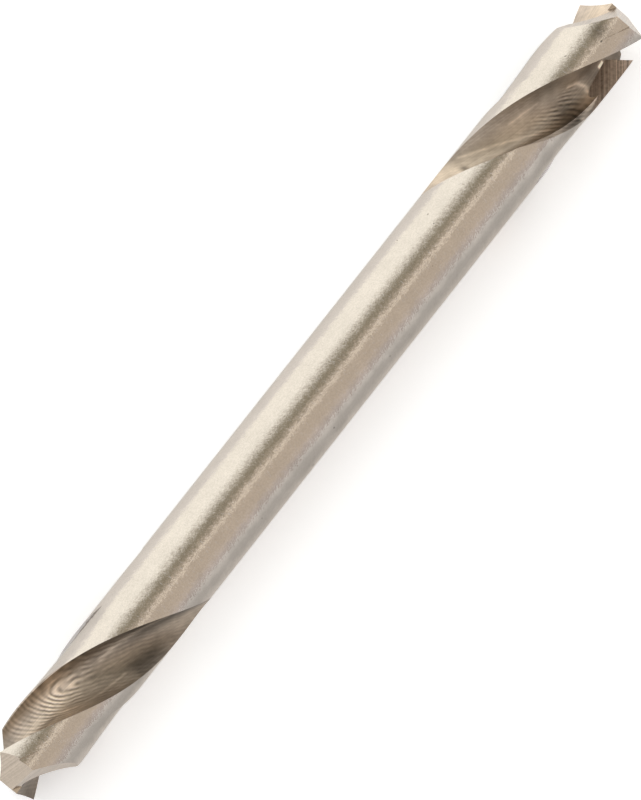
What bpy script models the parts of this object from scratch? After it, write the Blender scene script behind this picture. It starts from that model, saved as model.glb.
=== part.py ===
"""Double-ended twist drill: a plain round shank between two short fluted ends.

The drill lies along X with its middle at the origin. Both ends are made by the same functions, in an
end frame whose X axis leaves the drill at the point, with its origin where the outer corners of the
two cutting lips lie. Angles turn about that axis from the leading edge, in the cutting direction.
"""

import math
from collections import namedtuple

import bmesh
import bpy
import numpy as np
from mathutils import Matrix, Vector

# Driving dimensions, in metres
DIAMETER = 0.0051
OVERALL_LENGTH = 0.062
FLUTE_LENGTH = 0.017  # from the chisel edge to where the flute has run out of the blank
LEAD = 0.0315  # one whole turn of the right-hand helix
WEB_THICKNESS = 0.00125
FLUTE_WHEEL_RADIUS = 0.035  # lifts the flute out of the blank at its shank end
HEEL_STRIP_WIDTH = 0.00047
CHISEL_LAND = 0.00005  # left beside the chisel edge by the heel facets
MARGIN_WIDTH = 0.0012
CLEARANCE_DEPTH = 0.00017
CLEARANCE_LENGTH = 0.0113  # from the lip corners to the end of the body clearance
CLEARANCE_WHEEL_RADIUS = 0.030

# Driving angles, in degrees
POINT_ANGLE = 135
PRIMARY_RELIEF = 14
HEEL_FACET_START = 54  # on the rim, from the lip corner back to where the heel facet begins
HEEL_FACET_FACING = 120  # the direction the heel facet faces, from the lip corner back
HEEL_FACET_SLOPE = 58.5  # of the heel facet, from square to the axis
NEAR_HEEL_FACING = 115  # the same for the near end's second heel, which was ground less steeply
NEAR_HEEL_SLOPE = 50
FLUTE_SPAN = 87  # from the leading edge across the flute to the heel of the other land
RAKE_SPAN = 55  # from the leading edge to the deepest line of the flute
HEEL_STRIP_LEAN = 27  # of the flat strip below the heel, from a radius
RUNOUT_LEAN = 15  # of the lifting direction, from the deepest line towards the leading edge
HEEL_CLEARANCE_SHARE = 0.12  # of the clearance depth that is left at the heel

# The far end's second heel was ground in another direction and stands as a spur beside the first
# flute. The flute's wall below it is flat, and leans towards the axis on its way down.
SPUR_HEEL_FACING = 99  # as HEEL_FACET_FACING
SPUR_TIP_DEPTH = 0.00103  # of the spur's tip behind the lip corners
SPUR_TOP_SLOPE = 33  # of its top edge, which falls away from the tip
SPUR_WALL_FACING = 99.4  # the direction of the wall from the axis, from the leading edge
SPUR_WALL_DISTANCE = 0.00154  # of the wall from the axis, at the lip corners
SPUR_WALL_LEAN = 9.2
SPUR_LENGTH = 0.0065  # how far down the flute the wall goes

# How each end is turned about the drill's axis
FAR_END_CLOCK = 158.5
NEAR_END_CLOCK = 119

# Fineness of the faceted surfaces
BLANK_SIDES = 96
HELIX_STEP = 6
ARC_SIDES = 7
CLEARANCE_SIDES = 16
SHARP_ANGLE = 28

RADIUS = DIAMETER / 2
WEB_RADIUS = WEB_THICKNESS / 2
LAND_SPAN = 180 - FLUTE_SPAN
MARGIN_SPAN = math.degrees(MARGIN_WIDTH / RADIUS)
LEAD_IN = 0.6 * RADIUS  # by which a cutter starts ahead of the lip corners
CUTTER_REACH = 0.8 * RADIUS  # by which a cutter stands out of the blank
CLEARANCE_OVERRUN = 45  # degrees by which the clearance runs on past the heel, over the flute's runout

Flank = namedtuple("Flank", "rise across up")  # a plane: x = rise + across * y + up * z


def polar(radius, degrees):
    """The point at this distance and angle, as an array (y, z)."""
    turn = math.radians(degrees)
    return np.array([math.cos(turn), math.sin(turn)]) * radius


def turned(points, degrees):
    """The points, an array of (y, z) rows, turned about the origin."""
    turn = math.radians(degrees)
    cos, sin = math.cos(turn), math.sin(turn)
    return points @ np.array([[cos, sin], [-sin, cos]])


def arc(centre, start, end, sides):
    """Points on the circle round centre from start to end, both included, the shorter way round."""
    centre = np.asarray(centre, float)
    radius = np.linalg.norm(start - centre)
    first = math.atan2(*(start - centre)[::-1])
    sweep = math.remainder(math.atan2(*(end - centre)[::-1]) - first, 2 * math.pi)
    angles = first + np.linspace(0, sweep, sides + 1)
    return centre + radius * np.column_stack([np.cos(angles), np.sin(angles)])


def flute_section():
    """The flute's section, leading edge first, in the frame whose first axis is the leading edge.

    A wide arc makes the rake face and a tighter one climbs to the heel. They touch along the deepest
    line. A flat facet takes the last stretch up to the heel and leaves a ridge along the flute. It is
    worked out with the first axis on the deepest line, then turned.
    """
    edge = polar(RADIUS, -RAKE_SPAN)
    heel = polar(RADIUS, FLUTE_SPAN - RAKE_SPAN)
    deepest = np.array([WEB_RADIUS, 0])
    rake_centre = (RADIUS**2 - WEB_RADIUS**2) / (2 * (edge[0] - WEB_RADIUS))
    rake = arc((rake_centre, 0), edge, deepest, ARC_SIDES)
    facet = polar(1, FLUTE_SPAN - RAKE_SPAN + HEEL_STRIP_LEAN)
    ridge = heel - facet * HEEL_STRIP_WIDTH
    rise = ridge[0] - WEB_RADIUS
    wall_centre = WEB_RADIUS + (rise**2 + ridge[1] ** 2) / (2 * rise)
    wall = arc((wall_centre, 0), deepest, ridge, ARC_SIDES)
    outwards = rake[0] - rake[1]
    lead_in = edge + outwards / np.linalg.norm(outwards) * CUTTER_REACH
    lead_out = heel + facet * CUTTER_REACH
    section = np.vstack([lead_in, rake, wall[1:], heel, lead_out])
    return turned(section, RAKE_SPAN)


def clearance_section():
    """Angles and depths below the blank of the body clearance, from the margin to past the heel."""
    past_margin = np.linspace(0, LAND_SPAN - MARGIN_SPAN + CLEARANCE_OVERRUN, CLEARANCE_SIDES + 1)
    share = np.minimum(past_margin / (LAND_SPAN - MARGIN_SPAN), 1)
    depths = CLEARANCE_DEPTH * (1 - (1 - HEEL_CLEARANCE_SHARE) * share**2)
    return -MARGIN_SPAN - past_margin, depths


def wheel_lift(travel, wheel_radius):
    """How far a wheel of this radius has risen after it has travelled this far along its runout."""
    return wheel_radius - np.sqrt(wheel_radius**2 - np.maximum(travel, 0) ** 2)


def runout_length(depth, wheel_radius):
    """How far a wheel of this radius travels while it rises by depth."""
    return math.sqrt(2 * wheel_radius * depth - depth**2)


def lip_corner_to_point():
    """How far the chisel edge stands ahead of the lip corners."""
    return primary_flank().rise


def primary_flank():
    """The plane behind the lip that ends at the corner (0, RADIUS, 0).

    The lip runs ahead of the centre by half the web. The plane rises towards the point along the lip
    by the point angle and falls away square to it by the relief.
    """
    ahead = math.asin(WEB_RADIUS / RADIUS)
    along = Vector((-math.cos(ahead), math.sin(ahead)))
    behind = Vector((-math.sin(ahead), -math.cos(ahead)))
    slope = along / math.tan(math.radians(POINT_ANGLE / 2))
    slope -= behind * math.tan(math.radians(PRIMARY_RELIEF))
    return Flank(-slope.x * RADIUS, slope.x, slope.y)


def heel_flank(facing, steepness):
    """The steeper plane that takes the heel off a land, through its starting point on the rim."""
    primary = primary_flank()
    start = polar(RADIUS, -HEEL_FACET_START)
    slope = -polar(math.tan(math.radians(steepness)), -facing)
    height = primary.rise + primary.across * start[0] + primary.up * start[1]
    return Flank(height - slope @ start, slope[0], slope[1])


def end_frames():
    """The frame of each end: its X axis points out of the drill and it is turned to its clock angle."""
    corners = OVERALL_LENGTH / 2 - lip_corner_to_point()
    frames = {}
    for name, side, clock in (("far", 0, FAR_END_CLOCK), ("near", 180, NEAR_END_CLOCK)):
        frames[name] = (
            Matrix.Rotation(math.radians(side), 4, "Z")
            @ Matrix.Translation((corners, 0, 0))
            @ Matrix.Rotation(math.radians(clock), 4, "X")
        )
    return frames


def cut_flat(bm, frame, flank):
    """Cuts away what lies beyond a flank plane and closes the cut with one face."""
    normal = frame.to_3x3() @ Vector((1, -flank.across, -flank.up))
    found = bmesh.ops.bisect_plane(
        bm,
        geom=bm.verts[:] + bm.edges[:] + bm.faces[:],
        dist=1e-9,
        plane_co=frame @ Vector((flank.rise, 0, 0)),
        plane_no=normal,
        clear_outer=True,
    )
    rim = [piece for piece in found["geom_cut"] if isinstance(piece, bmesh.types.BMEdge)]
    bmesh.ops.edgeloop_fill(bm, edges=rim)


def blank_mesh(frames):
    """The round blank with the two primary flanks ground on each end."""
    bm = bmesh.new()
    bmesh.ops.create_cone(
        bm,
        cap_ends=True,
        segments=BLANK_SIDES,
        radius1=RADIUS,
        radius2=RADIUS,
        depth=OVERALL_LENGTH + 2 * DIAMETER,
        matrix=Matrix.Rotation(math.radians(90), 4, "Y"),
    )
    half_turn = Matrix.Rotation(math.radians(180), 4, "X")
    for frame in frames.values():
        cut_flat(bm, frame, primary_flank())
        cut_flat(bm, frame @ half_turn, primary_flank())
    bmesh.ops.recalc_face_normals(bm, faces=bm.faces)
    mesh = bpy.data.meshes.new("drill_bit")
    bm.to_mesh(mesh)
    bm.free()
    return mesh


def lofted(name, rings):
    """A closed solid through rings, an array of station, point and (x, y, z)."""
    stations, points = rings.shape[:2]
    bm = bmesh.new()
    rows = [[bm.verts.new(point) for point in ring] for ring in rings]
    for row, following in zip(rows, rows[1:]):
        for i in range(points):
            j = (i + 1) % points
            bm.faces.new((row[i], row[j], following[j], following[i]))
    bm.faces.new(rows[0])
    bm.faces.new(rows[stations - 1])
    bmesh.ops.recalc_face_normals(bm, faces=bm.faces)
    mesh = bpy.data.meshes.new(name)
    bm.to_mesh(mesh)
    bm.free()
    return mesh


def helical_rings(sections, behind):
    """Each section placed behind the lip corners and turned back along the right-hand helix."""
    rings = []
    for section, distance in zip(sections, behind):
        points = turned(section, -360 * distance / LEAD)
        rings.append(np.column_stack([np.full(len(points), -distance), points]))
    return np.array(rings)


def stations(length):
    """Distances behind the lip corners, close enough together for the helix to look round."""
    count = math.ceil((length + LEAD_IN) / LEAD * 360 / HELIX_STEP)
    return np.linspace(-LEAD_IN, length, count + 1)


def flute_mesh():
    """The flute cutter: the section carried along the helix, then lifted out as the wheel leaves."""
    length = FLUTE_LENGTH - lip_corner_to_point()
    full = length - runout_length(RADIUS - WEB_RADIUS, FLUTE_WHEEL_RADIUS)
    clear_length = length + runout_length(0.01 * RADIUS, FLUTE_WHEEL_RADIUS)
    behind = stations(clear_length)
    lifts = wheel_lift(behind - full, FLUTE_WHEEL_RADIUS)
    outwards = polar(1, RAKE_SPAN - RUNOUT_LEAN)
    section = flute_section()
    return lofted("flute_cutter", helical_rings([section + lift * outwards for lift in lifts], behind))


def clearance_mesh():
    """The body clearance cutter: a shallow arc behind the margin, lifted out short of the flute's end."""
    full = CLEARANCE_LENGTH - runout_length(CLEARANCE_DEPTH, CLEARANCE_WHEEL_RADIUS)
    behind = stations(CLEARANCE_LENGTH + 0.02 * RADIUS)
    angles, depths = clearance_section()
    turns = np.radians(angles)
    directions = np.column_stack([np.cos(turns), np.sin(turns)])
    sections = []
    for lift in wheel_lift(behind - full, CLEARANCE_WHEEL_RADIUS):
        inner = directions * (RADIUS - depths + lift)[:, None]
        outer = directions * (RADIUS + CUTTER_REACH)
        sections.append(np.vstack([inner, outer[::-1]]))
    return lofted("clearance_cutter", helical_rings(sections, behind))


def heel_mesh(facing, steepness):
    """The heel cutter: all that lies beyond the heel facet on the land's side of the chisel edge."""
    primary, heel = primary_flank(), heel_flank(facing, steepness)
    chisel = math.degrees(math.atan2(-primary.across, primary.up))
    ridge = polar(1, chisel)
    beside = polar(1, chisel - 90)
    reach = RADIUS + CUTTER_REACH
    corners = [beside * CHISEL_LAND + ridge * reach, beside * CHISEL_LAND - ridge * reach]
    corners += [beside * reach - ridge * reach, beside * reach + ridge * reach]
    low = np.array([(heel.rise + heel.across * y + heel.up * z, y, z) for y, z in corners])
    high = low.copy()
    high[:, 0] = low[:, 0].max() + DIAMETER
    return lofted("heel_cutter", np.array([low, high]))


def spur_mesh():
    """What the far end's first flute cutter leaves standing: all that lies beyond the spur's wall.

    The wall runs from abreast of the axis out past the rim. Its top edge rises to the tip on the rim.
    """
    outwards = polar(1, SPUR_WALL_FACING)
    along = polar(1, SPUR_WALL_FACING - 90)
    far_side = RADIUS + CUTTER_REACH
    tip = math.sqrt(RADIUS**2 - SPUR_WALL_DISTANCE**2)
    fall = math.tan(math.radians(SPUR_TOP_SLOPE))
    top = [-SPUR_TIP_DEPTH - fall * (tip - reached) for reached in (0, far_side)]
    rings = []
    for near_x, far_x in (top, (-SPUR_LENGTH, -SPUR_LENGTH)):
        ring = []
        for x, reached, behind in ((near_x, 0, 0), (far_x, far_side, 0), (far_x, far_side, 1), (near_x, 0, 1)):
            wall = SPUR_WALL_DISTANCE + x * math.tan(math.radians(SPUR_WALL_LEAN))
            ring.append((x, *(outwards * (wall + behind * DIAMETER) + along * reached)))
        rings.append(ring)
    return lofted("spur", np.array(rings))


def tool_steel():
    """Bare ground tool steel with a warm straw tint."""
    material = bpy.data.materials.new("tool_steel")
    material.use_nodes = True
    shader = material.node_tree.nodes["Principled BSDF"]
    shader.inputs["Base Color"].default_value = (0.62, 0.56, 0.48, 1)
    shader.inputs["Metallic"].default_value = 1
    shader.inputs["Roughness"].default_value = 0.32
    return material


def add_cutter(body, mesh, name, place):
    """Adds a hidden object with this mesh at this place, and cuts it from the body."""
    cutter = bpy.data.objects.new(name, mesh)
    cutter.matrix_world = place
    cutter.hide_render = True
    cutter.display_type = "WIRE"
    bpy.context.scene.collection.objects.link(cutter)
    cut = body.modifiers.new(name, "BOOLEAN")
    cut.operation = "DIFFERENCE"
    cut.solver = "EXACT"
    cut.object = cutter
    return cutter


def main():
    for thing in list(bpy.data.objects):
        bpy.data.objects.remove(thing)
    frames = end_frames()
    mesh = blank_mesh(frames)
    mesh.materials.append(tool_steel())
    mesh.shade_smooth()
    mesh.set_sharp_from_angle(angle=math.radians(SHARP_ANGLE))
    body = bpy.data.objects.new("drill_bit", mesh)
    bpy.context.scene.collection.objects.link(body)
    heel = heel_mesh(HEEL_FACET_FACING, HEEL_FACET_SLOPE)
    other_heels = {
        ("far", 180): heel_mesh(SPUR_HEEL_FACING, HEEL_FACET_SLOPE),
        ("near", 180): heel_mesh(NEAR_HEEL_FACING, NEAR_HEEL_SLOPE),
    }
    flute, clearance = flute_mesh(), clearance_mesh()
    for end, frame in frames.items():
        for side in (0, 180):
            place = frame @ Matrix.Rotation(math.radians(side), 4, "X")
            add_cutter(body, other_heels.get((end, side), heel), f"{end}_heel_{side}", place)
            add_cutter(body, clearance, f"{end}_clearance_{side}", place)
            fluting = add_cutter(body, flute, f"{end}_flute_{side}", place)
            if (end, side) == ("far", 0):
                add_cutter(fluting, spur_mesh(), "spur", place)


main()
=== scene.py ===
"""A double-ended twist drill on a pale floor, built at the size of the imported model.

The drill lies along X with its middle at the origin. Each end is made in an end frame whose X axis
leaves the drill at the point and whose origin lies where the outer corners of the two lips are.
Angles turn about that axis from the leading edge of the first land, in the cutting direction.
"""

import math

import bmesh
import bpy
import numpy as np
from bpy.props import FloatProperty, FloatVectorProperty, PointerProperty
from mathutils import Matrix, Vector


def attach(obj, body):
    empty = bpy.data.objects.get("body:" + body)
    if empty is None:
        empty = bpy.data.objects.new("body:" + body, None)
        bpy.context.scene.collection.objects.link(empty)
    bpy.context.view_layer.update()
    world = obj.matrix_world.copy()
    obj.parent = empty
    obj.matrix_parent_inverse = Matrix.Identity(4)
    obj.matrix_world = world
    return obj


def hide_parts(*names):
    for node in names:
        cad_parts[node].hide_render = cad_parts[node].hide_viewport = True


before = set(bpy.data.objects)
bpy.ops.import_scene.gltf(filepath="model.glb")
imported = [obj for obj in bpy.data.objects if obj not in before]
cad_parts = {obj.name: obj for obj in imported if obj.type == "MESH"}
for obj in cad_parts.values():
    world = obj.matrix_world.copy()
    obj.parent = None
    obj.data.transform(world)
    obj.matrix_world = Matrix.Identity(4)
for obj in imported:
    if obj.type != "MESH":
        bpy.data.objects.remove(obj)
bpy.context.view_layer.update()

bl_info = {
    "name": "Double-ended twist drill",
    "version": (1, 0, 0),
    "blender": (4, 5, 0),
    "location": "View3D > Sidebar > Drill",
    "description": "Builds a double-ended twist drill and a plain studio round it",
    "category": "Object",
}

# Lengths are in metres, except where a comment says mm.
DIAMETER = 0.0051
RADIUS = DIAMETER / 2
MM = 1000

# How finely the blank and the cutters are divided, round their sections and along the drill.
BLANK_SIDES = 288
BLANK_RINGS = 124
RAKE_SIDES = 44
WALL_SIDES = 34
STRIP_SIDES = 3
LEAD_SIDES = 4
CLEARANCE_SIDES = 40
FLUTE_STATION = 0.0001
CLEARANCE_STATION = 0.0004

# How far the cutters reach: outside the blank, ahead of the lip corners, and past their own ends.
CUTTER_REACH = 0.8 * RADIUS
LEAD_IN = 0.0015
FLUTE_OVERRUN = 4 * FLUTE_STATION
CLEARANCE_OVERRUN = math.radians(45)

# The part of the body clearance's depth that is left at the heel.
HEEL_CLEARANCE = 0.12

# Points this near a flank's plane count as on it, and edges over this many degrees stay sharp.
PLANE_TOLERANCE = 1e-9
SHARP_ANGLE = 24

# Places in the flutes are in mm: behind the lip corners, and across from the flute's deepest line.
# The wheel's ripples slant by these turns. At the near end they fold into a swirl.
FAR_RIPPLE_TURN = math.radians(35)
NEAR_RIPPLE_TURN = math.radians(28.8)
RIPPLE_PITCH = 0.25
RIPPLE_WAVER = 2.1
SWIRL_LINE = 3.42
SWIRL_SLOPE = 0.06
SWIRL_MIDDLE = 4.2
SWIRL_ROUNDING = 0.13
SWIRL_DRIFT = 0.08
SWIRL_CLOSING = 0.16
SWIRL_START = 4.9
SWIRL_SOFTNESS = 0.35

# Where the ripples are strong: behind, its reach, across, its reach, and the strength.
FAR_RIPPLED = ((6.3, 1.0, 0.55, 0.4, 1.7), (8.2, 0.8, 0.35, 0.35, 0.6))
NEAR_RIPPLED = ((5.2, 2.3, 0.6, 0.7, 1.05),)
FAR_RIPPLE_STRENGTH = 0.12
NEAR_RIPPLE_STRENGTH = 0.35

# Painted light and shade in the flutes, as paler and darker zones: behind, its reach, across, its
# reach, and the change of tone.
FAR_LIGHT_AND_SHADE = (
    (9.0, 1.5, -0.7, 0.6, 0.2),
    (3.2, 0.7, 0.75, 0.45, -0.5),
    (6.2, 1.0, 0.65, 0.45, -0.6),
    (1.1, 0.8, 0.95, 0.4, -0.5),
)
NEAR_LIGHT_AND_SHADE = (
    (5.6, 1.1, 0.85, 0.5, 1.0),
    (2.8, 1.2, 0.9, 0.5, 0.6),
    (10.6, 1.3, -1.25, 0.5, -0.6),
)
FAR_TONE = 1.12
NEAR_TONE = 0.9

# Painted highlights and painted shade in the flutes, along lines given by the places that they run
# through.
BOWL_RIM = ((5.2, -0.2), (4.55, 0.18), (4.19, 0.77), (4.55, 0.98), (5.37, 1.06), (6.34, 1.19))
FAR_RIDGE = ((13.0, -1.35), (12.23, -1.02), (10.72, -0.43), (9.65, 0.08), (8.72, 0.52), (8.09, 0.74))
FAR_STREAK_HIGHLIGHT = ((9.54, -1.07), (9.0, -1.02), (8.5, -1.04), (7.9, -0.97), (7.36, -0.96))
FAR_GLINT = ((2.2, 0.81), (2.6, 0.8))
NEAR_RIDGE = (
    (8.9, -1.19),
    (8.42, -1.2),
    (7.19, -1.21),
    (6.1, -1.1),
    (5.24, -0.71),
    (4.6, -0.22),
    (3.6, 0.3),
)
# Painted shade along a line just below the near ridge.
NEAR_RIDGE_SHADE = tuple((behind, across - 0.16) for behind, across in NEAR_RIDGE)
NEAR_STREAK_HIGHLIGHT = ((8.6, 0.42), (10.0, 0.55), (11.5, 0.55), (13.2, 0.45))

# Each line with its width and its change of tone: painted highlights, and painted shade just below the
# near ridge.
FAR_HIGHLIGHT_LINES = (
    (BOWL_RIM, 0.085, 0.8),
    (FAR_RIDGE, 0.07, 0.55),
    (FAR_STREAK_HIGHLIGHT, 0.05, 0.5),
    (FAR_GLINT, 0.05, 3.0),
)
NEAR_HIGHLIGHT_AND_SHADE_LINES = (
    (NEAR_STREAK_HIGHLIGHT, 0.09, 0.45),
    (NEAR_RIDGE, 0.06, 0.35),
    (NEAR_RIDGE_SHADE, 0.06, -0.25),
)

# What every vertex says for the flute material, and how the streaks slant.
FLUTE_FIELDS = ("ripple", "ripple_strength", "tone_and_painted_light", "across")
STREAK_SLANT = 0.04

# Darker sides of the shank, each by the degrees that it faces, the angles from there at which it starts
# to fade and is gone, where it begins and ends along X, and the factor on its tone. The first is
# painted
# shade: the shank's whole side away from the light, darkened as its reflections are dark. The second
# darkens another side a little, over a short length towards the near end.
DARKENED_SIDES = (
    (156, (0.26, 0.64), (-0.04, 0.04), 0.6),
    (22, (0.66, 0.72), (-0.0248, -0.0192), 0.93),
)
DARKENED_START_FADE = 0.0012
DARKENED_END_FADE = 0.0003

# Stains, each by its place, its reach and the factor on its tone.
STAINS = (
    ((0.0284, -0.0003, 0.0023), 0.0007, 0.62),
    ((0.02793, -0.00079, 0.00242), 0.00009, 0.2),
)

# Pits start where a noise passes the first level and are full at the second. The edge tint is the
# steel's where it is seen at a glancing angle.
PIT_LEVELS = (0.785, 0.81)
PIT_TONE = 0.4
EDGE_TINT = (0.80, 0.78, 0.75, 1)

# The lines of flat ground faces waver a little. The spur's wall has painted light: its tone goes from
# darker at one place to paler at another.
LINE_WAVER = 0.00005
WALL_SHADE_TO_LIGHT = (0.0172, 0.0194, 0.8, 1.5)

# The camera, by the drill's lean towards it and the sine of its slope in the picture. The drill's
# radius and the aim, right of and above the drill's middle, are in pixels.
VIEW_LEAN = math.radians(16)
UP_SHARE = 0.7854
PICTURE_HEIGHT = 800
RADIUS_IN_PIXELS = 42.3
AIM_RIGHT = 4.22
AIM_UP = -4.03
CAMERA_DISTANCE = 1.2
SENSOR_HEIGHT = 24

# The surround, by degrees about the drill's axis from the camera's side: a bright panel, a dark gap,
# the room with a narrow strip of light in it, and a paler side. Each tone eases into the next. They
# hold where a direction's share along X is near SHANK_SHARE, as in the shank's reflections. Further
# from it they change to END_TONE, over END_FADE.
CAMERA_SIDE = math.radians(102.26)
PANEL = (1.57, 1.57, 1.48, 1)
GAP = (0.41, 0.37, 0.28, 1)
ROOM = (0.8, 0.71, 0.6, 1)
STRIP = (1.7, 1.6, 1.4, 1)
SIDE = (0.9, 0.84, 0.82, 1)
SURROUND = (
    (-55, PANEL),
    (-14, GAP),
    (6, ROOM),
    (9.5, STRIP),
    (13, ROOM),
    (45, ROOM),
    (75, SIDE),
)
END_TONE = (1.0, 1.03, 1.09, 1)
SHANK_SHARE = 0.276
END_FADE = (0.3, 0.55)

FLOOR_REACH = 1.5
FLOOR_GLOW = 0.3
FLOOR_ROUGHNESS = 0.9


def length(name, description, default):
    """A property that holds a length in metres."""
    return FloatProperty(
        name=name, description=description, default=default, unit="LENGTH", precision=5
    )


def angle(name, description, default):
    """A property that holds an angle, given in degrees."""
    return FloatProperty(
        name=name, description=description, default=math.radians(default), unit="ROTATION", precision=2
    )


def colour(name, description, default):
    """A property that holds a colour."""
    return FloatVectorProperty(
        name=name, description=description, default=default, subtype="COLOR", min=0, max=1
    )


class DrillSize(bpy.types.PropertyGroup):
    """Sizes of the drill."""

    overall: length("Overall length", "From one chisel edge to the other", 0.062)
    flute: length("Flute length", "From the chisel edge to the end of the flute", 0.017)
    lead: length("Lead", "One whole turn of the right-hand helix", 0.0315)
    web: length("Web thickness", "Thickness of the core between the flutes", 0.00125)
    flute_wheel: length("Flute wheel radius", "Lifts the flute out of the blank", 0.035)
    strip: length("Heel strip width", "Flat strip below the heel of each land", 0.00047)
    near_strip: length("Near heel strip width", "The same for the near end", 0.00012)
    margin: length("Margin width", "Full-diameter strip behind each leading edge", 0.0012)
    clearance: length("Clearance depth", "Depth of the body clearance behind the margin", 0.00017)
    clearance_length: length("Clearance length", "From the lip corners to its end", 0.0113)
    clearance_wheel: length("Clearance wheel radius", "Lifts the clearance out", 0.030)
    chisel_land: length("Chisel land", "Left beside the chisel edge", 0.00005)
    point: angle("Point angle", "Between the two lips", 135)
    relief: angle("Primary relief", "Of the flank behind the lip", 14)
    heel_start: angle("Heel facet start", "On the rim, from the lip corner back", 54)
    heel_facing: angle("Heel facet facing", "Direction it faces, from the lip corner back", 120)
    heel_slope: angle("Heel facet slope", "From square to the axis", 58.5)
    near_heel_facing: angle("Near heel facing", "The same for the near end's second heel", 115)
    near_heel_slope: angle("Near heel slope", "From square to the axis", 50)
    spur_heel_facing: angle("Spur heel facing", "The same for the heel that ends in the spur", 99)
    spur_facing: angle("Spur wall facing", "Direction of the wall from the axis", 99.4)
    spur_lean: angle("Spur wall lean", "Towards the axis on its way down", 9.2)
    spur_top: angle("Spur top slope", "Of the wall's top edge, away from the tip", 33)
    spur_wall: length("Spur wall distance", "From the axis, at the lip corners", 0.00154)
    spur_tip: length("Spur tip depth", "Behind the lip corners", 0.00103)
    spur_length: length("Spur length", "How far down the flute the wall goes", 0.0065)
    span: angle("Flute span", "From the leading edge to the next heel", 87)
    rake: angle("Rake span", "From the leading edge to the flute's deepest line", 55)
    strip_lean: angle("Heel strip lean", "From a radius", 27)
    runout_lean: angle("Runout lean", "Lifting direction, from the deepest line", 15)
    near_lean: angle("Near runout lean", "The same for the near end", 4)
    far_clock: angle("Far end clock", "Turn of the far end", 158.5)
    near_clock: angle("Near end clock", "Turn of the near end", 119)


class DrillLook(bpy.types.PropertyGroup):
    """Colours of the drill and the stage."""

    steel: colour("Ground steel", "Shank, lands and margins", (0.55, 0.50, 0.452))
    fluted: colour("Flute", "Rough-ground flutes", (0.35, 0.29, 0.23))
    flank: colour("Flank", "Point facets", (0.44, 0.375, 0.31))
    wall: colour("Spur wall", "The flat wall below the spur", (0.46, 0.395, 0.35))
    floor: colour("Floor", "The pale floor", (0.93, 0.93, 0.93))


def polar(radius, turn):
    """The point at this distance and angle, as an array (y, z)."""
    return np.array([math.cos(turn), math.sin(turn)]) * radius


def turned(points, turn):
    """The points, an array of (y, z) rows, turned about the origin."""
    cos, sin = math.cos(turn), math.sin(turn)
    return points @ np.array([[cos, sin], [-sin, cos]])


def arc(centre, start, end, sides):
    """Points on the circle round centre from start to end, both included, the shorter way round."""
    centre = np.asarray(centre, float)
    radius = np.linalg.norm(start - centre)
    first = math.atan2(*(start - centre)[::-1])
    sweep = math.remainder(math.atan2(*(end - centre)[::-1]) - first, 2 * math.pi)
    angles = first + np.linspace(0, sweep, sides + 1)
    return centre + radius * np.column_stack([np.cos(angles), np.sin(angles)])


def view_axes():
    """The camera's right, up and backward axes, for the lean of the drill in the photograph."""
    elevation = math.atan(UP_SHARE / math.tan(VIEW_LEAN))
    azimuth = -math.acos(math.sqrt(1 - UP_SHARE**2) * math.cos(VIEW_LEAN))
    turn = Matrix.Rotation(azimuth, 3, "Z") @ Matrix.Rotation(math.pi / 2 - elevation, 3, "X")
    return [turn @ Vector(axis) for axis in ((1, 0, 0), (0, 1, 0), (0, 0, 1))]


def straight(start, end, sides):
    """Points along a straight line, both ends included."""
    return start + (end - start) * np.linspace(0, 1, sides + 1)[:, None]


def flute_section(size, width):
    """The flute's section: a wide rake arc, a tighter arc up the heel wall and a flat strip."""
    web = size.web / 2
    edge = polar(RADIUS, -size.rake)
    heel = polar(RADIUS, size.span - size.rake)
    deepest = np.array([web, 0])
    rake_centre = (RADIUS**2 - web**2) / (2 * (edge[0] - web))
    rake = arc((rake_centre, 0), edge, deepest, RAKE_SIDES)
    strip = polar(1, size.span - size.rake + size.strip_lean)
    ridge = heel - strip * width
    rise = ridge[0] - web
    wall_centre = web + (rise**2 + ridge[1] ** 2) / (2 * rise)
    wall = arc((wall_centre, 0), deepest, ridge, WALL_SIDES)
    outwards = (rake[0] - rake[1]) / np.linalg.norm(rake[0] - rake[1])
    lead_in = straight(edge + outwards * CUTTER_REACH, edge, LEAD_SIDES)[:-1]
    flat = straight(ridge, heel, STRIP_SIDES)[1:]
    lead_out = straight(heel, heel + strip * CUTTER_REACH, LEAD_SIDES)[1:]
    section = np.vstack([lead_in, rake, wall[1:], flat, lead_out])
    return turned(section, size.rake)


def wheel_lift(travel, wheel):
    """How far a wheel of this radius has risen after it has travelled this far along its runout."""
    return wheel - np.sqrt(wheel**2 - np.maximum(travel, 0) ** 2)


def runout_length(depth, wheel):
    """How far a wheel of this radius travels while it rises by depth."""
    return math.sqrt(2 * wheel * depth - depth**2)


def primary_flank(size):
    """The plane behind a lip, as (rise, across, up): x = rise + across * y + up * z."""
    ahead = math.asin(size.web / 2 / RADIUS)
    along = Vector((-math.cos(ahead), math.sin(ahead)))
    behind = Vector((-math.sin(ahead), -math.cos(ahead)))
    slope = along / math.tan(size.point / 2) - behind * math.tan(size.relief)
    return -slope.x * RADIUS, slope.x, slope.y


def heel_flank(size, facing, steepness):
    """The steeper plane that takes the heel off a land, through its starting point on the rim."""
    rise, across, up = primary_flank(size)
    start = polar(RADIUS, -size.heel_start)
    slope = -polar(math.tan(steepness), -facing)
    return rise + across * start[0] + up * start[1] - slope @ start, slope[0], slope[1]


def end_frames(size):
    """The frame of each end: X points out of the drill, turned to its clock angle."""
    corners = size.overall / 2 - primary_flank(size)[0]
    frames = {}
    for name, side, clock in (("far", 0, size.far_clock), ("near", 180, size.near_clock)):
        frames[name] = (
            Matrix.Rotation(math.radians(side), 4, "Z")
            @ Matrix.Translation((corners, 0, 0))
            @ Matrix.Rotation(clock, 4, "X")
        )
    return frames


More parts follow.
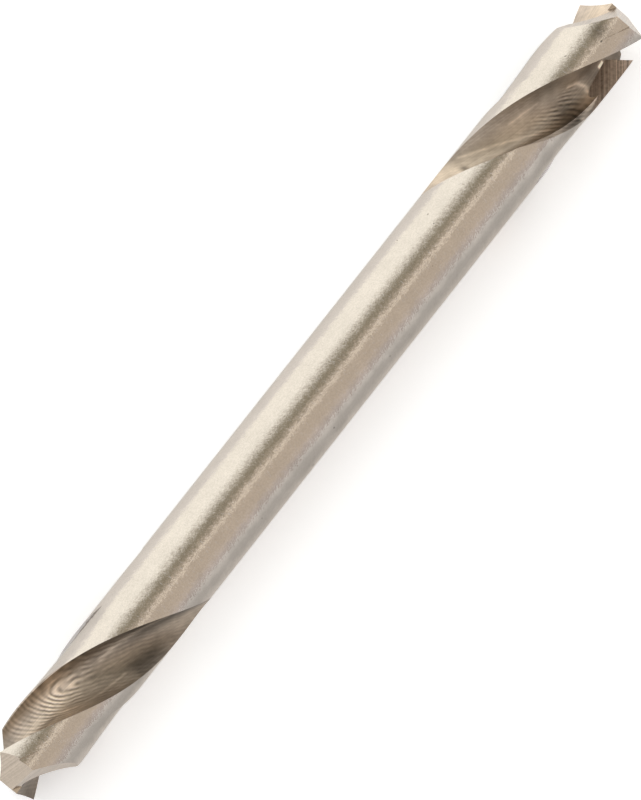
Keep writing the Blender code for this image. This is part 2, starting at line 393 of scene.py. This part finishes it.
def grid_mesh(name, rings, material):
    """A closed mesh over rings, an array of station, point and (x, y, z), with both ends capped."""
    stations, points = rings.shape[:2]
    index = np.arange(stations * points).reshape(stations, points)
    following = np.roll(index, -1, axis=1)
    quads = np.stack([index[:-1], following[:-1], following[1:], index[1:]], axis=-1).reshape(-1, 4)
    faces = quads.tolist() + [index[0][::-1].tolist(), index[-1].tolist()]
    mesh = bpy.data.meshes.new(name)
    mesh.from_pydata(rings.reshape(-1, 3).tolist(), [], faces)
    mesh.materials.append(material)
    bm = bmesh.new()
    bm.from_mesh(mesh)
    bmesh.ops.recalc_face_normals(bm, faces=bm.faces)
    bm.to_mesh(mesh)
    bm.free()
    return mesh


def helical_rings(sections, behind, lead):
    """Each section placed behind the lip corners and turned back along the right-hand helix."""
    rings = []
    for section, distance in zip(sections, behind):
        points = turned(section, -2 * math.pi * distance / lead)
        rings.append(np.column_stack([np.full(len(points), -distance), points]))
    return np.array(rings)


def flute_mesh(size, material, width, lean):
    """The flute cutter: the section carried along the helix, then lifted out as the wheel leaves."""
    reach = size.flute - primary_flank(size)[0]
    full = reach - runout_length(RADIUS - size.web / 2, size.flute_wheel)
    behind = np.arange(-LEAD_IN, reach + FLUTE_OVERRUN, FLUTE_STATION)
    lifts = wheel_lift(behind - full, size.flute_wheel)
    outwards = polar(1, size.rake - lean)
    section = flute_section(size, width)
    rings = helical_rings([section + lift * outwards for lift in lifts], behind, size.lead)
    return grid_mesh("flute_cutter", rings, material)


def clearance_mesh(size, material):
    """The body clearance cutter: a shallow arc behind the margin, lifted out before the flute ends.

    Its depth below the blank is clearance * (1 - (1 - HEEL_CLEARANCE) * share**2), where share is the
    part of the way from the margin to the heel.
    """
    full = size.clearance_length - runout_length(size.clearance, size.clearance_wheel)
    behind = np.arange(-LEAD_IN, size.clearance_length + CLEARANCE_STATION, CLEARANCE_STATION)
    margin = size.margin / RADIUS
    land = math.pi - size.span - margin
    past_margin = np.linspace(0, land + CLEARANCE_OVERRUN, CLEARANCE_SIDES + 1)
    turns = -margin - past_margin
    depths = size.clearance * (1 - (1 - HEEL_CLEARANCE) * np.minimum(past_margin / land, 1) ** 2)
    directions = np.column_stack([np.cos(turns), np.sin(turns)])
    sections = []
    for lift in wheel_lift(behind - full, size.clearance_wheel):
        inner = directions * (RADIUS - depths + lift)[:, None]
        outer = directions * (RADIUS + CUTTER_REACH)
        sections.append(np.vstack([inner, outer[::-1]]))
    return grid_mesh("clearance_cutter", helical_rings(sections, behind, size.lead), material)


def heel_mesh(size, material, facing, steepness):
    """The heel cutter: all that lies beyond the heel facet on one land's side of the chisel edge."""
    _, across, up = primary_flank(size)
    heel = heel_flank(size, facing, steepness)
    ridge = Vector((up, -across)).normalized()
    aside = Vector((ridge.y, -ridge.x))
    reach = RADIUS + CUTTER_REACH
    corners = [aside * size.chisel_land + ridge * reach, aside * size.chisel_land - ridge * reach]
    corners += [aside * reach - ridge * reach, aside * reach + ridge * reach]
    low = np.array([(heel[0] + heel[1] * y + heel[2] * z, y, z) for y, z in corners])
    high = low.copy()
    high[:, 0] = low[:, 0].max() + DIAMETER
    return grid_mesh("heel_cutter", np.array([low, high]), material)


def spur_mesh(size, material):
    """What the far end's first flute cutter leaves standing: all that lies beyond the spur's wall.

    The wall is a plane at spur_wall + x * tan(spur_lean) from the axis. Its top edge rises from abreast
    of the axis to the spur's tip on the rim.
    """
    outwards = polar(1, size.spur_facing)
    along = polar(1, size.spur_facing - math.pi / 2)
    far_side = RADIUS + CUTTER_REACH
    tip = math.sqrt(RADIUS**2 - size.spur_wall**2)
    slope = math.tan(size.spur_top)
    near_x, far_x = (-size.spur_tip - slope * (tip - reached) for reached in (0, far_side))
    rings = []
    for ends in ((near_x, far_x, far_x, near_x), (-size.spur_length,) * 4):
        ring = []
        for x, reached, behind in zip(ends, (0, far_side, far_side, 0), (0, 0, 1, 1)):
            wall = size.spur_wall + x * math.tan(size.spur_lean)
            ring.append((x, *(outwards * (wall + behind * DIAMETER) + along * reached)))
        rings.append(ring)
    return grid_mesh("spur", np.array(rings), material)


def grind_flank(bm, size, place):
    """Takes off what lies beyond a primary flank and closes the blank with a face of the flank."""
    rise, across, up = primary_flank(size)
    found = bmesh.ops.bisect_plane(
        bm,
        geom=bm.verts[:] + bm.edges[:] + bm.faces[:],
        dist=PLANE_TOLERANCE,
        plane_co=place @ Vector((rise, 0, 0)),
        plane_no=place.to_3x3() @ Vector((1, -across, -up)),
        clear_outer=True,
    )
    rim = [piece for piece in found["geom_cut"] if isinstance(piece, bmesh.types.BMEdge)]
    for face in bmesh.ops.edgeloop_fill(bm, edges=rim)["faces"]:
        face.material_index = 1


def blank_mesh(size, frames, shank, flank):
    """The round blank, a circle carried along X, with the two primary flanks ground on each end."""
    x = np.linspace(-1, 1, BLANK_RINGS + 1) * (size.overall / 2 + DIAMETER)
    turns = np.arange(BLANK_SIDES) / BLANK_SIDES * 2 * math.pi
    rings = np.empty((len(x), BLANK_SIDES, 3))
    rings[:, :, 0] = x[:, None]
    rings[:, :, 1] = RADIUS * np.cos(turns)
    rings[:, :, 2] = RADIUS * np.sin(turns)
    mesh = grid_mesh("drill", rings, shank)
    mesh.materials.append(flank)
    bm = bmesh.new()
    bm.from_mesh(mesh)
    half_turn = Matrix.Rotation(math.pi, 4, "X")
    for end in frames.values():
        for place in (end, end @ half_turn):
            grind_flank(bm, size, place)
    bmesh.ops.recalc_face_normals(bm, faces=bm.faces)
    bm.to_mesh(mesh)
    bm.free()
    return mesh


def cut(body, mesh, name, place):
    """Cuts an object with this mesh from the body or from another cutter, and gives it back."""
    cutter = bpy.data.objects.new(name, mesh)
    cutter.matrix_world = place
    bpy.context.scene.collection.objects.link(cutter)
    change = body.modifiers.new(name, "BOOLEAN")
    change.operation = "DIFFERENCE"
    change.solver = "MANIFOLD"
    change.material_mode = "TRANSFER"
    change.object = cutter
    return cutter


def adder(tree):
    """A function that adds a node to this tree, with its inputs set or linked."""

    def add(kind, inputs=(), **settings):
        node = tree.nodes.new("ShaderNode" + kind)
        for key, value in settings.items():
            setattr(node, key, value)
        for key, value in dict(inputs).items():
            if isinstance(value, bpy.types.NodeSocket):
                tree.links.new(value, node.inputs[key])
            else:
                node.inputs[key].default_value = value
        return node

    return add


def nodes_of(name):
    """A new material, its node tree, its Principled shader and a function that adds a linked node."""
    material = bpy.data.materials.new(name)
    material.use_nodes = True
    tree = material.node_tree
    return material, tree, tree.nodes["Principled BSDF"], adder(tree)


def calc(add, operation, *values):
    """The result of an operation on these values."""
    return add("Math", dict(enumerate(values)), operation=operation).outputs[0]


def remap(add, value, start, end, low, high, **settings):
    """A value that goes from low to high as the given one goes from start to end, held beyond both."""
    return add("MapRange", {"Value": value, 1: start, 2: end, 3: low, 4: high}, **settings).outputs[0]


def spread(add, value, low, high):
    """Noise, which stays near 0.3 to 0.7, spread over another range."""
    return remap(add, value, 0.3, 0.7, low, high)


def noise(add, place, scale, detail, roughness=0.5):
    """Noise over the piece, with about this many cells to the metre."""
    inputs = {"Vector": place, "Scale": scale, "Detail": detail, "Roughness": roughness}
    return add("TexNoise", inputs).outputs["Fac"]


def line_noise(add, place, scale, detail, roughness):
    """The same for places along one direction, which gives lines square to it."""
    inputs = {"W": place, "Scale": scale, "Detail": detail, "Roughness": roughness}
    return add("TexNoise", inputs, noise_dimensions="1D").outputs["Fac"]


def dot(add, place, direction):
    """How far each place lies along a direction."""
    return add("VectorMath", {0: place, 1: direction}, operation="DOT_PRODUCT").outputs["Value"]


def turn_about_x(add, place, facing):
    """The angle of each place about the X axis, from the direction at this angle above Y."""
    cos, sin = math.cos(facing), math.sin(facing)
    return calc(add, "ARCTAN2", dot(add, place, (0, -sin, cos)), dot(add, place, (0, cos, sin)))


def tone_of(add, tint, factor):
    """A colour scaled by a value."""
    return add("VectorMath", {0: (*tint,), "Scale": factor}, operation="SCALE").outputs[0]


def bare_metal(nodes, tint, factor, height, depth, roughness):
    """Gives a material's shader its tone, its relief and its roughness, as bare metal."""
    material, tree, shader, add = nodes
    bump = add("Bump", {"Height": height, "Distance": depth, "Strength": 1.0})
    tree.links.new(tone_of(add, tint, factor), shader.inputs["Base Color"])
    tree.links.new(bump.outputs[0], shader.inputs["Normal"])
    shader.inputs["Metallic"].default_value = 1
    shader.inputs["Roughness"].default_value = roughness
    return material


def darkened_side(add, place, patches, facing, fading, span, left):
    """The factor that darkens a side of the shank, 1 elsewhere, with ragged edges. On the side away
    from the light it is painted shade.
    """
    apart = calc(add, "ABSOLUTE", turn_about_x(add, place, math.radians(facing)))
    ragged = calc(add, "MULTIPLY_ADD", patches, 0.35, apart)
    on_side = remap(add, ragged, *fading, 1 - left, 0)
    lengthwise = add("SeparateXYZ", {"Vector": place}).outputs["X"]
    begun = remap(add, lengthwise, span[0], span[0] + DARKENED_START_FADE, 0, 1)
    not_over = remap(add, lengthwise, span[1], span[1] + DARKENED_END_FADE, 1, 0)
    taken = calc(add, "MULTIPLY", calc(add, "MULTIPLY", begun, not_over), on_side)
    return calc(add, "SUBTRACT", 1, taken)


def stain(add, place, speck, centre, reach, left):
    """The factor on the tone of a round stain, 1 elsewhere, with a ragged edge."""
    away = add("VectorMath", {0: place, 1: centre}, operation="DISTANCE").outputs["Value"]
    ragged = calc(add, "MULTIPLY_ADD", speck, reach, away)
    return remap(add, ragged, reach * 0.6, reach * 1.7, left, 1)


def steel(name, tint, roughness, stretch, depth, mottle):
    """Bare ground steel: fine grinding marks, a speckle, pits, stains, faint patches of tone and
    darkened sides, one of them painted shade.

    Stretch says how many of the marks there are to the metre along each axis.
    """
    nodes = nodes_of(name)
    _, _, shader, add = nodes
    place = add("TexCoord").outputs["Object"]
    fine = add("Mapping", {"Vector": place, "Scale": stretch}).outputs["Vector"]
    marks = noise(add, fine, scale=1, detail=3, roughness=0.6)
    speck = noise(add, place, scale=9000, detail=2, roughness=0.6)
    height = calc(add, "MULTIPLY_ADD", speck, 0.12, marks)
    patches = noise(add, place, scale=700, detail=5, roughness=0.65)
    blurred = spread(add, patches, 1 - mottle, 1 + mottle)
    grainy = spread(add, speck, 1 - mottle, 1 + mottle)
    pits = noise(add, place, scale=2300, detail=1)
    pitted = remap(add, pits, *PIT_LEVELS, 1, PIT_TONE)
    shade = calc(add, "MULTIPLY", calc(add, "MULTIPLY", blurred, grainy), pitted)
    # Painted shade on the shank's side away from the light, and a faint darker band towards the near
    # end.
    for side in DARKENED_SIDES:
        shade = calc(add, "MULTIPLY", shade, darkened_side(add, place, patches, *side))
    for spot in STAINS:
        shade = calc(add, "MULTIPLY", shade, stain(add, place, speck, *spot))
    shader.inputs["Specular Tint"].default_value = EDGE_TINT
    return bare_metal(nodes, tint, shade, height, depth, roughness)


def fluted_steel(name, tint, roughness, depth):
    """Rough-ground flute: the wheel's ripples as relief and tone, over streaks along the flute, with
    painted light and shade from a factor on each vertex.
    """
    nodes = nodes_of(name)
    add = nodes[-1]
    place = add("TexCoord").outputs["Object"]
    ripple, strength, tone_and_painted_light, across = (
        add("Attribute", attribute_name=field).outputs["Fac"] for field in FLUTE_FIELDS
    )
    waver = noise(add, place, scale=420, detail=4, roughness=0.55)
    phase = calc(add, "MULTIPLY_ADD", waver, RIPPLE_WAVER, ripple)
    wave = calc(add, "SINE", calc(add, "MULTIPLY", phase, 2 * math.pi))
    fading = remap(add, noise(add, place, scale=1300, detail=2), 0.35, 0.62, 0.12, 1.35)
    ribs = calc(add, "MULTIPLY", calc(add, "MULTIPLY", wave, strength), fading)
    streaks = line_noise(add, across, scale=9, detail=4, roughness=0.7)
    speck = noise(add, place, scale=7000, detail=2, roughness=0.6)
    grain = calc(add, "MULTIPLY_ADD", streaks, 1.6, speck)
    height = calc(add, "ADD", ribs, grain)
    patchy = spread(add, noise(add, place, scale=1100, detail=4, roughness=0.6), 0.82, 1.18)
    streaked = spread(add, streaks, 0.86, 1.14)
    ribbed = calc(add, "MULTIPLY_ADD", ribs, 0.3, 1)
    shade = calc(add, "MULTIPLY", calc(add, "MULTIPLY", patchy, streaked), ribbed)
    # The vertices' factor paints light and shade into the flute's tone.
    shade = calc(add, "MULTIPLY", shade, tone_and_painted_light)
    return bare_metal(nodes, tint, shade, height, depth, roughness)


def lined_steel(name, tint, roughness, lines, depth, contrast, fade=(0, 1, 1, 1)):
    """A flat ground face with straight parallel grinding lines, square to the direction given.

    Fade gives two places along that direction and the factor on the tone at each. On the spur's wall it
    is painted light.
    """
    nodes = nodes_of(name)
    add = nodes[-1]
    place = add("TexCoord").outputs["Object"]
    along = dot(add, place, lines)
    waver = noise(add, place, scale=500, detail=2)
    drift = calc(add, "MULTIPLY_ADD", waver, LINE_WAVER, along)
    marks = line_noise(add, drift, scale=7000, detail=3, roughness=0.7)
    speck = noise(add, place, scale=5000, detail=2, roughness=0.6)
    height = calc(add, "MULTIPLY_ADD", speck, 0.15, marks)
    mixed = calc(add, "MULTIPLY_ADD", marks, 0.7, calc(add, "MULTIPLY", speck, 0.3))
    lined = spread(add, mixed, 1 - contrast, 1 + contrast)
    tone = calc(add, "MULTIPLY", lined, remap(add, along, *fade))
    return bare_metal(nodes, tint, tone, height, depth, roughness)


def floor_material(colour):
    """A dull floor that glows faintly to the camera, in reflections and through clear pieces."""
    material, tree, shader, add = nodes_of("floor")
    shader.inputs["Base Color"].default_value = (*colour, 1)
    shader.inputs["Roughness"].default_value = FLOOR_ROUGHNESS
    path = add("LightPath").outputs
    seen = calc(add, "MAXIMUM", path["Is Camera Ray"], path["Is Glossy Ray"])
    through = calc(add, "MAXIMUM", seen, path["Is Transmission Ray"])
    shader.inputs["Emission Color"].default_value = (1, 1, 1, 1)
    tree.links.new(calc(add, "MULTIPLY", through, FLOOR_GLOW), shader.inputs["Emission Strength"])
    return material


def hump(values, centre, width):
    """A smooth hump, exp(-((values - centre) / width)**2 / 2)."""
    return np.exp(-(((values - centre) / width) ** 2) / 2)


def rising(values, start, end):
    """A smooth step from 0 at start to 1 at end, 3 * share**2 - 2 * share**3."""
    share = np.clip((values - start) / (end - start), 0, 1)
    return share * share * (3 - 2 * share)


def beside(behind, across, points, width):
    """A hump of this width along the line through these places, by each vertex's distance from it."""
    distance = np.full(len(across), np.inf)
    for start, end in zip(points, points[1:]):
        way = np.subtract(end, start)
        share = ((behind - start[0]) * way[0] + (across - start[1]) * way[1]) / (way @ way)
        share = np.clip(share, 0, 1)
        apart = np.hypot(behind - start[0] - share * way[0], across - start[1] - share * way[1])
        distance = np.minimum(distance, apart)
    return hump(distance, 0, width)


def zones(behind, across, rows):
    """The sum of the zones, each a hump behind times a hump across, times its change."""
    return sum(
        change * hump(behind, along, reach) * hump(across, aside, width)
        for along, reach, aside, width, change in rows
    )


def lines(behind, across, rows):
    """The sum of the lines, each a hump by the distance from it, times its change."""
    return sum(change * beside(behind, across, line, width) for line, width, change in rows)


def flute_places(size, frames, points):
    """Where each point lies: whether at the far end, behind, across, and whether in a second flute."""
    far = points[:, 0] > 0
    behind, across = np.empty(len(points)), np.empty(len(points))
    second = np.empty(len(points), bool)
    for name, here in (("far", far), ("near", ~far)):
        inverse = np.array(frames[name].inverted())
        local = points[here] @ inverse[:3, :3].T + inverse[:3, 3]
        helix = 2 * math.pi * local[:, 0] / size.lead
        turn = np.arctan2(local[:, 2], local[:, 1]) - helix - size.rake
        folded = np.mod(turn + math.pi / 2, math.pi) - math.pi / 2
        second[here] = np.mod(turn + math.pi / 2, 2 * math.pi) > math.pi
        behind[here] = -local[:, 0] * MM
        across[here] = np.hypot(local[:, 1], local[:, 2]) * np.sin(folded) * MM
    return far, behind, across, second


def ripple_count(far, behind, across):
    """How many of the wheel's ripples have passed at each place.

    With u along the ripples and w square to them, it is w / RIPPLE_PITCH. At the near end w is folded
    about the swirl's line: the root of its squared distance from the line plus SWIRL_ROUNDING squared,
    less a drift along the line. The drift rises slowly behind SWIRL_START and steeply up to there,
    which closes the ripples into an oval towards the point.
    """
    turn = np.where(far, FAR_RIPPLE_TURN, NEAR_RIPPLE_TURN)
    u = behind * np.cos(turn) - across * np.sin(turn)
    w = behind * np.sin(turn) + across * np.cos(turn)
    off_line = w - SWIRL_LINE - SWIRL_SLOPE * (u - SWIRL_MIDDLE)
    closing = SWIRL_CLOSING * np.log1p(np.exp((SWIRL_START - u) / SWIRL_SOFTNESS))
    folded = np.sqrt(off_line**2 + SWIRL_ROUNDING**2) - (SWIRL_DRIFT * u - closing)
    return np.where(far, w, folded) / RIPPLE_PITCH


def far_tone_and_light(behind, across, second):
    """The factor on the tone in the far end's flutes: painted light and shade in zones and along lines,
    the heel strip darker, a darker spot, paler past the flute's end, and the second flute paler at the
    point.
    """
    heel_strip = rising(across, 0.97, 1.05) * rising(9 - behind, 0, 2)
    spot = hump(np.hypot(behind - 13.4, (across + 0.47) * 0.6), 0, 0.12)
    tail = rising(behind, 13.3, 13.9)
    mouth = np.where(second, hump(behind, 0, 1.2), 0)
    plain = FAR_TONE + zones(behind, across, FAR_LIGHT_AND_SHADE) + lines(behind, across, FAR_HIGHLIGHT_LINES)
    return plain - 0.5 * heel_strip - 0.6 * spot + 0.5 * tail + 0.8 * mouth


def near_tone_and_light(behind, across, second):
    """The factor on the tone in the near end's flutes: painted light and shade in zones and along
    lines, a paler band at one side, darker towards the flute's end, and the second flute darker at the
    point and paler behind 6 mm, painted light against its shade.
    """
    band_edge = rising(6.3 - behind, 0, 1.9) - 1.1
    band = rising(band_edge - across, 0, 0.15) * rising(9.6 - behind, 0, 0.6)
    tail = rising(behind, 9.5, 12) * rising(across, -0.6, 0.3)
    along_second = np.where(second, rising(behind, 6, 9) - hump(behind, 0, 1.3), 0)
    plain = NEAR_TONE + zones(behind, across, NEAR_LIGHT_AND_SHADE) + lines(behind, across, NEAR_HIGHLIGHT_AND_SHADE_LINES)
    return plain + 0.35 * band - 0.58 * tail + 0.7 * along_second


def mark_flutes(size, frames, mesh):
    """Gives every vertex the fields that the flute material reads.

    They are the count of ripples, their strength, a factor on the tone that carries painted light and
    shade, and the place across the streaks, which is across + STREAK_SLANT * behind.
    """
    points = np.empty(len(mesh.vertices) * 3)
    mesh.vertices.foreach_get("co", points)
    far, behind, across, second = flute_places(size, frames, points.reshape(-1, 3))
    far_strength = FAR_RIPPLE_STRENGTH + zones(behind, across, FAR_RIPPLED)
    near_strength = NEAR_RIPPLE_STRENGTH + zones(behind, across, NEAR_RIPPLED)
    values = (
        ripple_count(far, behind, across),
        np.where(far, far_strength, near_strength),
        np.where(far, far_tone_and_light(behind, across, second), near_tone_and_light(behind, across, second)),
        across + STREAK_SLANT * behind,
    )
    for name, value in zip(FLUTE_FIELDS, values):
        mesh.attributes.new(name, "FLOAT", "POINT").data.foreach_set("value", value)


def finished_mesh(piece):
    """The mesh of a piece after its cuts, as plain mesh data."""
    graph = bpy.context.evaluated_depsgraph_get()
    source = piece.evaluated_get(graph)
    mesh = bpy.data.meshes.new_from_object(source, preserve_all_data_layers=True, depsgraph=graph)
    if not mesh.polygons:
        raise RuntimeError("The cuts left nothing of " + piece.name)
    return mesh


def make_steels(look):
    """The materials of the shank, the flutes, the flanks and the spur's wall."""
    shank = steel(
        "ground_steel",
        look.steel,
        roughness=0.14,
        stretch=(5200, 1700, 1700),
        depth=0.000043,
        mottle=0.05,
    )
    fluted = fluted_steel("flute_steel", look.fluted, roughness=0.45, depth=0.0000045)
    flank = lined_steel(
        "flank_steel", look.flank, roughness=0.26, lines=(0.2, 0.9, 0.3), depth=0.0000015, contrast=0.18
    )
    wall = lined_steel(
        "wall_steel",
        look.wall,
        roughness=0.38,
        lines=view_axes()[0],
        depth=0.00001,
        contrast=0.6,
        # Painted light: the wall darker at one place and paler at another.
        fade=WALL_SHADE_TO_LIGHT,
    )
    return shank, fluted, flank, wall


def cut_ends(body, size, frames, steels):
    """Cuts heels, clearances and flutes from both ends, and leaves the spur. Gives back the cutters."""
    shank, fluted, flank, wall = steels
    heel = heel_mesh(size, flank, size.heel_facing, size.heel_slope)
    other_heels = {
        ("far", 180): heel_mesh(size, wall, size.spur_heel_facing, size.heel_slope),
        ("near", 180): heel_mesh(size, flank, size.near_heel_facing, size.near_heel_slope),
    }
    clearance = clearance_mesh(size, shank)
    flutes = {
        "far": flute_mesh(size, fluted, size.strip, size.runout_lean),
        "near": flute_mesh(size, fluted, size.near_strip, size.near_lean),
    }
    cutters = []
    for end, place in frames.items():
        for side in (0, 180):
            there = place @ Matrix.Rotation(math.radians(side), 4, "X")
            meshes = {
                "heel": other_heels.get((end, side), heel),
                "clearance": clearance,
                "flute": flutes[end],
            }
            for kind, mesh in meshes.items():
                cutters.append(cut(body, mesh, f"{end}_{kind}_{side}", there))
            if (end, side) == ("far", 0):
                cutters.append(cut(cutters[-1], spur_mesh(size, wall), "spur", there))
    return cutters


class DRILL_OT_body(bpy.types.Operator):
    """Build the ground drill body with its flutes, clearances and point facets"""

    bl_idname = "drill.body"
    bl_label = "Drill body"

    def execute(self, context):
        size = context.scene.drill_size
        steels = make_steels(context.scene.drill_look)
        shank, _, flank, _ = steels
        frames = end_frames(size)
        body = bpy.data.objects.new("drill", blank_mesh(size, frames, shank, flank))
        bpy.context.scene.collection.objects.link(body)
        cutters = cut_ends(body, size, frames, steels)
        bpy.context.view_layer.update()
        finished = finished_mesh(body)
        body.modifiers.clear()
        body.data = finished
        for cutter in cutters:
            bpy.data.objects.remove(cutter)
        mark_flutes(size, frames, finished)
        finished.shade_smooth()
        finished.set_sharp_from_angle(angle=math.radians(SHARP_ANGLE))
        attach(body, "root")
        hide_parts("drill_bit")
        return {"FINISHED"}


class DRILL_OT_stage(bpy.types.Operator):
    """Lay a pale floor, light it softly and set the camera"""

    bl_idname = "drill.stage"
    bl_label = "Stage"

    def execute(self, context):
        mesh = bpy.data.meshes.new("floor")
        low, high = -FLOOR_REACH, FLOOR_REACH
        corners = [(low, low, 0), (high, low, 0), (high, high, 0), (low, high, 0)]
        mesh.from_pydata(corners, [], [(0, 1, 2, 3)])
        mesh.materials.append(floor_material(context.scene.drill_look.floor))
        floor = bpy.data.objects.new("floor", mesh)
        floor.location.z = -RADIUS
        context.scene.collection.objects.link(floor)
        self.light(context)
        self.camera(context)
        context.scene.view_settings.view_transform = "Standard"
        return {"FINISHED"}

    def light(self, context):
        """A soft surround: tones by the direction about the drill's axis, paler past its ends."""
        world = bpy.data.worlds.new("studio")
        world.use_nodes = True
        context.scene.world = world
        tree = world.node_tree
        add = adder(tree)
        sight = add("TexCoord").outputs["Generated"]
        turn = turn_about_x(add, sight, CAMERA_SIDE)
        ramp = add("ValToRGB", {"Fac": remap(add, turn, -math.pi, math.pi, 0, 1)})
        ramp.color_ramp.interpolation = "EASE"
        elements = ramp.color_ramp.elements
        while len(elements) < len(SURROUND):
            elements.new(0.5)
        for element, (degrees, tone) in zip(elements, SURROUND):
            element.position = (degrees + 180) / 360
            element.color = tone
        along = add("SeparateXYZ", {"Vector": sight}).outputs["X"]
        apart = calc(add, "ABSOLUTE", calc(add, "SUBTRACT", along, SHANK_SHARE))
        past_ends = remap(add, apart, *END_FADE, 0, 1, interpolation_type="SMOOTHSTEP")
        inputs = {"Factor": past_ends, 6: ramp.outputs["Color"], 7: END_TONE}
        both = add("Mix", inputs, data_type="RGBA")
        tree.links.new(both.outputs[2], tree.nodes["Background"].inputs["Color"])

    def camera(self, context):
        """A long lens at the photograph's angle, aimed so that the drill fills the frame."""
        right, above, back = view_axes()
        pixel = RADIUS / RADIUS_IN_PIXELS
        target = right * AIM_RIGHT * pixel + above * AIM_UP * pixel
        data = bpy.data.cameras.new("camera")
        data.sensor_fit = "VERTICAL"
        data.sensor_height = SENSOR_HEIGHT
        data.lens = SENSOR_HEIGHT * CAMERA_DISTANCE / (PICTURE_HEIGHT * pixel)
        camera = bpy.data.objects.new("camera", data)
        turn = Matrix((right, above, back)).transposed().to_4x4()
        camera.matrix_world = Matrix.Translation(target + back * CAMERA_DISTANCE) @ turn
        context.scene.collection.objects.link(camera)
        context.scene.camera = camera


class DRILL_PT_panel(bpy.types.Panel):
    """Shows a button for each of the drill's operators"""

    bl_label = "Drill"
    bl_idname = "DRILL_PT_panel"
    bl_space_type = "VIEW_3D"
    bl_region_type = "UI"
    bl_category = "Drill"

    def draw(self, context):
        for operator in OPERATORS:
            self.layout.operator(operator.bl_idname)


OPERATORS = (DRILL_OT_body, DRILL_OT_stage)
CLASSES = (DrillSize, DrillLook, *OPERATORS, DRILL_PT_panel)


def register():
    for cls in CLASSES:
        bpy.utils.register_class(cls)
    bpy.types.Scene.drill_size = PointerProperty(type=DrillSize)
    bpy.types.Scene.drill_look = PointerProperty(type=DrillLook)


def unregister():
    del bpy.types.Scene.drill_look
    del bpy.types.Scene.drill_size
    for cls in reversed(CLASSES):
        bpy.utils.unregister_class(cls)


def main():
    register()
    bpy.ops.drill.body()
    bpy.ops.drill.stage()


if __name__ == "__main__":
    main()
